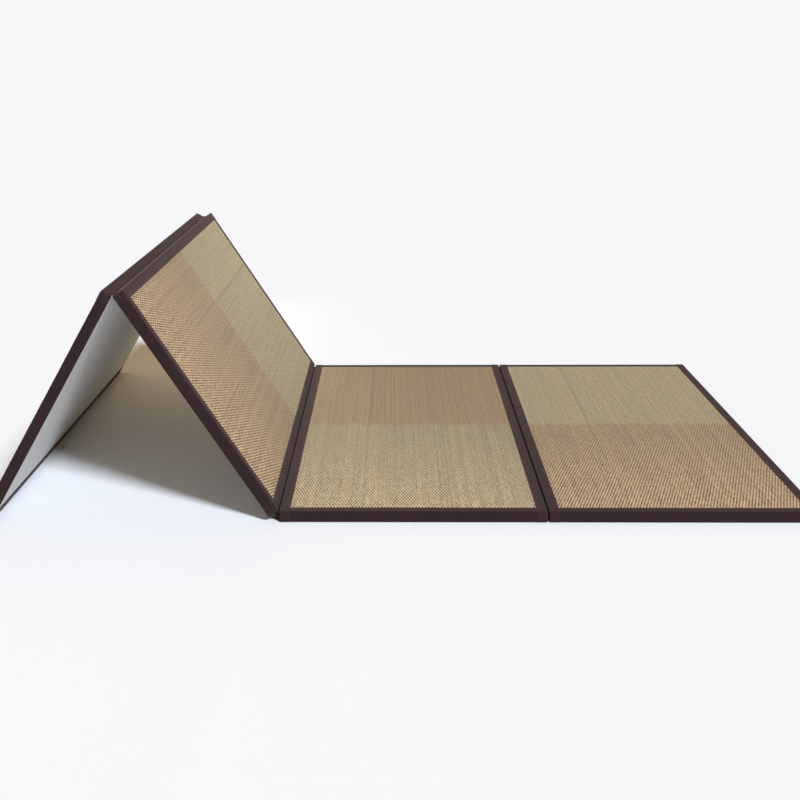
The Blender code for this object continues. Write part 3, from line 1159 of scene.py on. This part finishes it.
class TATAMI_OT_weave_rush(bpy.types.Operator):
    """Weave the rush over the four boards"""

    bl_idname = "tatami.weave_rush"
    bl_label = "Weave rush"

    def execute(self, context):
        places = panel_places()
        tan = tuple(colours().rush_tan)
        green = tuple(colours().rush_green)
        for seed, panel in enumerate(PANELS, start=1):
            mesh, cells_y = woven_board_mesh(panel, seed)
            near, far = (tan, green) if panel in TAN_NEAR else (green, tan)
            material = rush_material(panel, near, far, cells_y / 2)
            piece = add_piece(f"{panel}_woven_rush", mesh, material, place_matrix(places[panel]))
            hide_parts(f"{panel}_rush_board")
        return {"FINISHED"}


def wrap_binding(panel, side, mesh, place):
    material = shared_material("binding_cloth_brown", binding_material)
    piece = add_piece(f"{panel}_{side}_binding_cloth", mesh, material, place_matrix(place))
    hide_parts(f"{panel}_{side}_binding")


class TATAMI_OT_sew_end_bindings(bpy.types.Operator):
    """Wrap the two ends of every panel in binding cloth"""

    bl_idname = "tatami.sew_end_bindings"
    bl_label = "Sew end bindings"

    def execute(self, context):
        places = panel_places()
        ends = [(panel, side) for panel in PANELS for side in ("left", "right")]
        for seed, (panel, side) in enumerate(ends, start=END_SEED):
            mesh = end_binding_mesh(panel, side, places[panel], seed)
            wrap_binding(panel, side, mesh, places[panel])
        return {"FINISHED"}


class TATAMI_OT_sew_edge_bindings(bpy.types.Operator):
    """Wrap the near and far edge of every panel in binding cloth"""

    bl_idname = "tatami.sew_edge_bindings"
    bl_label = "Sew edge bindings"

    def execute(self, context):
        places = panel_places()
        edges = [(panel, side) for panel in PANELS for side in ("near", "far")]
        for seed, (panel, side) in enumerate(edges, start=EDGE_SEED):
            mesh = edge_binding_mesh(panel, side, seed)
            wrap_binding(panel, side, mesh, places[panel])
        return {"FINISHED"}


class TATAMI_OT_lay_backings(bpy.types.Operator):
    """Lay the two backing cloths under their pairs of panels"""

    bl_idname = "tatami.lay_backings"
    bl_label = "Lay backings"

    def execute(self, context):
        places = panel_places()
        free_end = HALF_GAP_FREE + BACKING_INSET
        valley_end = HALF_GAP_VALLEY + BACKING_INSET
        foot_1 = frame_point(places["panel_1"], free_end, 0.0)
        ridge = frame_point(places["panel_2"], 0.0, 0.0)
        foot_2 = frame_point(places["panel_2"], CREASE_PITCH - valley_end, 0.0)
        flat_left = frame_point(places["panel_3"], valley_end, 0.0)
        flat_right = frame_point(places["panel_4"], CREASE_PITCH - free_end, 0.0)
        runs = {
            "backing_12": rounded_profile((foot_1, ridge, foot_2), RIDGE_ROUND),
            "backing_34": [Vector(flat_left), Vector(flat_right)],
        }
        material = shared_material("backing_cloth_white", backing_material)
        for seed, (node, run) in enumerate(runs.items(), start=BACKING_SEED):
            profile = dense_profile(run, BACKING_STEP)
            mesh = cloth_along_y_mesh(
                f"{node}_cloth", profile, BACKING_CLOTH, BACKING_STEP, BACKING_RIPPLE, seed)
            piece = add_piece(f"{node}_cloth", mesh, material)
            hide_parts(node)
        return {"FINISHED"}


class TATAMI_OT_sew_hinge(bpy.types.Operator):
    """Sew the cloth hinge into the valley crease"""

    bl_idname = "tatami.sew_hinge"
    bl_label = "Sew hinge"

    def execute(self, context):
        places = panel_places()
        gap = HALF_GAP_VALLEY - CLEARANCE
        leaf_2 = frame_point(places["panel_2"], CREASE_PITCH - gap, THICKNESS - HINGE_LEAF)
        leaf_3 = frame_point(places["panel_3"], gap, THICKNESS - HINGE_LEAF)
        # The cloth hangs a little slack between its leaves, which leaves a groove in the crease
        top_3 = frame_point(places["panel_3"], gap, THICKNESS - HINGE_SINK)
        top_2 = frame_point(places["panel_2"], CREASE_PITCH - gap, THICKNESS - HINGE_SINK)
        turned = rounded_profile((leaf_3, top_3, top_2, leaf_2), HINGE_ROUND)
        profile = dense_profile(turned, HINGE_STEP)
        # The whole hinge cloth lies in the crease, so it carries the binding's painted crease
        # shade
        mesh = cloth_along_y_mesh(
            "hinge_23_cloth", profile, HINGE_CLOTH, HINGE_ROW_STEP, 0.0, HINGE_SEED, tucked=1.0)
        material = shared_material("binding_cloth_brown", binding_material)
        piece = add_piece("hinge_23_cloth", mesh, material)
        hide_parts("hinge_23")
        return {"FINISHED"}


class TATAMI_OT_set_stage(bpy.types.Operator):
    """Lay the pale floor, light it softly and set up the camera"""

    bl_idname = "tatami.set_stage"
    bl_label = "Set stage"

    def execute(self, context):
        lay_floor()
        light_softly()
        set_camera()
        return {"FINISHED"}


def lay_floor():
    bm = bmesh.new()
    bmesh.ops.create_grid(bm, x_segments=8, y_segments=8, size=FLOOR_REACH)
    mesh = mesh_from_bmesh("studio_floor", bm)
    floor = put_in_scene("studio_floor", mesh)
    material, nodes, shader = new_material("floor_pale")
    colour = (*stage_settings().floor, 1.0)
    finish_surface(nodes, shader, colour, roughness=0.9, gloss=0.0)
    mesh.materials.append(material)


def light_softly():
    """Main lamp at the front on the right, soft fill, rear lamp and a plain backdrop."""
    scene = bpy.context.scene
    settings = stage_settings()
    world = bpy.data.worlds.new("soft_fill")
    scene.world = world
    world.use_nodes = True
    nodes = Nodes(world.node_tree)
    facing = nodes.add("ShaderNodeVectorMath", operation="DOT_PRODUCT")
    nodes.join(nodes.add("ShaderNodeTexCoord").outputs["Generated"], facing.inputs[0])
    facing.inputs[1].default_value = FILL_DIRECTION
    share = nodes.span(facing.outputs["Value"], *FILL_SPAN, *FILL_SHARES)
    fill = nodes.add("ShaderNodeBackground")
    fill.inputs["Color"].default_value = (*settings.fill, 1.0)
    nodes.join(nodes.times(share, settings.fill_strength), fill.inputs["Strength"])
    backdrop = nodes.add("ShaderNodeBackground")
    backdrop.inputs["Color"].default_value = (*settings.backdrop, 1.0)
    rays = nodes.add("ShaderNodeLightPath")
    either = nodes.add("ShaderNodeMixShader")
    output = nodes.add("ShaderNodeOutputWorld")
    nodes.join(rays.outputs["Is Camera Ray"], either.inputs[0])
    nodes.join(fill.outputs[0], either.inputs[1])
    nodes.join(backdrop.outputs[0], either.inputs[2])
    nodes.join(either.outputs[0], output.inputs["Surface"])

    key = bpy.data.lights.new("key_light", "SUN")
    key.energy = settings.key_strength
    key.color = settings.key
    key.angle = KEY_ANGLE
    holder = put_in_scene("key_light", key)
    holder.rotation_euler = (-Vector(KEY_DIRECTION)).to_track_quat("-Z", "Y").to_euler()

    places = panel_places()
    tent_middle = (places["panel_1"][0][0] + places["panel_3"][0][0]) / 2
    rear = bpy.data.lights.new("rear_light", "AREA")
    rear.energy = settings.rear_power
    rear.color = settings.rear
    rear.size = REAR_SIZE
    rear.spread = REAR_SPREAD
    stand = put_in_scene("rear_light", rear)
    stand.location = (tent_middle, REAR_AWAY, REAR_HEIGHT)
    aim = Vector((tent_middle, -MAT_WIDTH / 4, 0.0)) - Vector(stand.location)
    stand.rotation_euler = aim.to_track_quat("-Z", "Y").to_euler()
    scene.view_settings.view_transform = "Standard"


def set_camera():
    data = bpy.data.cameras.new("photo_view")
    data.sensor_width = 36.0
    data.lens = stage_settings().lens
    data.shift_x, data.shift_y = CAMERA_SHIFT
    data.clip_end = 200.0
    camera = put_in_scene("photo_view", data)
    yaw = Matrix.Rotation(CAMERA_YAW, 4, "Z")
    pitch = Matrix.Rotation(math.radians(90) - CAMERA_PITCH, 4, "X")
    roll = Matrix.Rotation(CAMERA_ROLL, 4, "Z")
    camera.matrix_world = Matrix.Translation(CAMERA_PLACE) @ (yaw @ pitch @ roll)
    bpy.context.scene.camera = camera


class TATAMI_PT_mat(bpy.types.Panel):
    """Sizes, colours and steps of the folding mat"""

    bl_idname = "TATAMI_PT_mat"
    bl_label = "Folding tatami mat"
    bl_space_type = "VIEW_3D"
    bl_region_type = "UI"
    bl_category = "Tatami"

    def draw(self, context):
        for group in (sizes(), colours(), stage_settings()):
            box = self.layout.box()
            for name in group.__annotations__:
                box.prop(group, name)
        for step in STEPS:
            self.layout.operator(step.bl_idname)


STEPS = (
    TATAMI_OT_set_stage,
    TATAMI_OT_weave_rush,
    TATAMI_OT_sew_end_bindings,
    TATAMI_OT_sew_edge_bindings,
    TATAMI_OT_lay_backings,
    TATAMI_OT_sew_hinge,
)
CLASSES = (TatamiSizes, TatamiColours, TatamiStage, *STEPS, TATAMI_PT_mat)


def register():
    for cls in CLASSES:
        bpy.utils.register_class(cls)
    bpy.types.Scene.tatami_sizes = PointerProperty(type=TatamiSizes)
    bpy.types.Scene.tatami_colours = PointerProperty(type=TatamiColours)
    bpy.types.Scene.tatami_stage = PointerProperty(type=TatamiStage)


def unregister():
    del bpy.types.Scene.tatami_stage
    del bpy.types.Scene.tatami_colours
    del bpy.types.Scene.tatami_sizes
    for cls in reversed(CLASSES):
        bpy.utils.unregister_class(cls)


def main():
    register()
    bpy.ops.tatami.set_stage()
    bpy.ops.tatami.weave_rush()
    bpy.ops.tatami.sew_end_bindings()
    bpy.ops.tatami.sew_edge_bindings()
    bpy.ops.tatami.lay_backings()
    bpy.ops.tatami.sew_hinge()


if __name__ == "__main__":
    main()
